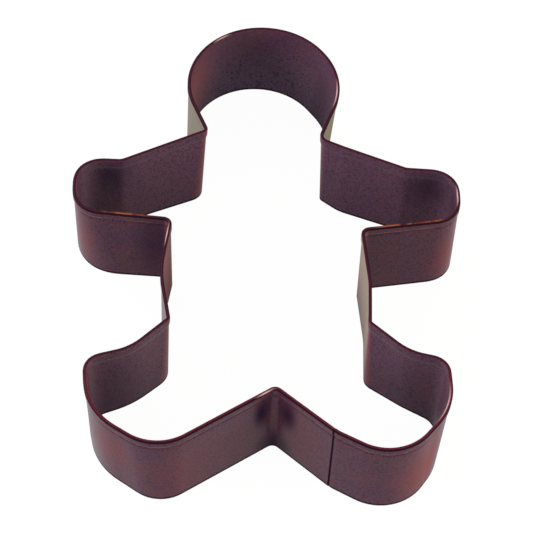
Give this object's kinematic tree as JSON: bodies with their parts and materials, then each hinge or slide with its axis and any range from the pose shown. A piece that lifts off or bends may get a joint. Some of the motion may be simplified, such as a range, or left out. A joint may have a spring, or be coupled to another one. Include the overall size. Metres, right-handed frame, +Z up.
{
  "type": "cookie cutter",
  "caption": "Open gingerbread-figure cookie cutter bent from a strip of brown coated steel, with a folded rim on top and a plain cutting edge below.",
  "frame": {"origin": "centre of the footprint, on the plane of the cutting edge", "axes": "+Z up from the cutting edge to the folded rim, +Y from the feet to the head, +X towards the seam's side"},
  "size_m": [0.095, 0.1274, 0.0254],
  "materials": {
    "coated_steel": "semi-gloss maroon-brown coating with a fine speckle",
    "weld_steel": "dull grey fused steel"
  },
  "bodies": {
    "root": {"formed_strip": "coated_steel", "seam_welds": "weld_steel"}
  },
  "joints": []
}
